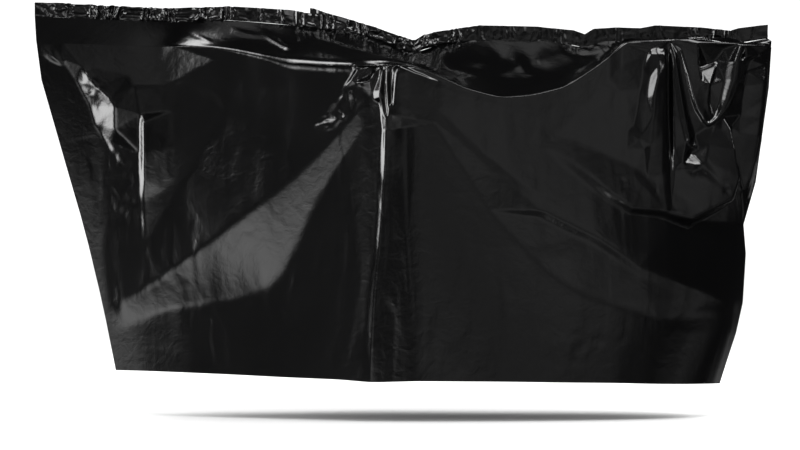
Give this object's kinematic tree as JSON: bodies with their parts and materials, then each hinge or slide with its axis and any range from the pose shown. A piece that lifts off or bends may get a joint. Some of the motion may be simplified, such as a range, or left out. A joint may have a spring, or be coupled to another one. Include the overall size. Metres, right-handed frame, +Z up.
{
  "type": "bicycle cover",
  "caption": "Glossy black plastic film cover hanging as over a bicycle: welded along its top with a ruffled skirt, pushed out by the handlebar, open along its hem.",
  "frame": {"origin": "on the inside of the cover, under its top weld, midway between the two handlebar grips", "axes": "+X runs along the cover from the end over the front wheel to the end over the rear wheel, +Y points through its thickness to the back, +Z points up"},
  "size_m": [2.0655, 0.5441, 1.067],
  "materials": {
    "film": "glossy crumpled film"
  },
  "bodies": {
    "root": {"cover": "film"}
  },
  "joints": []
}
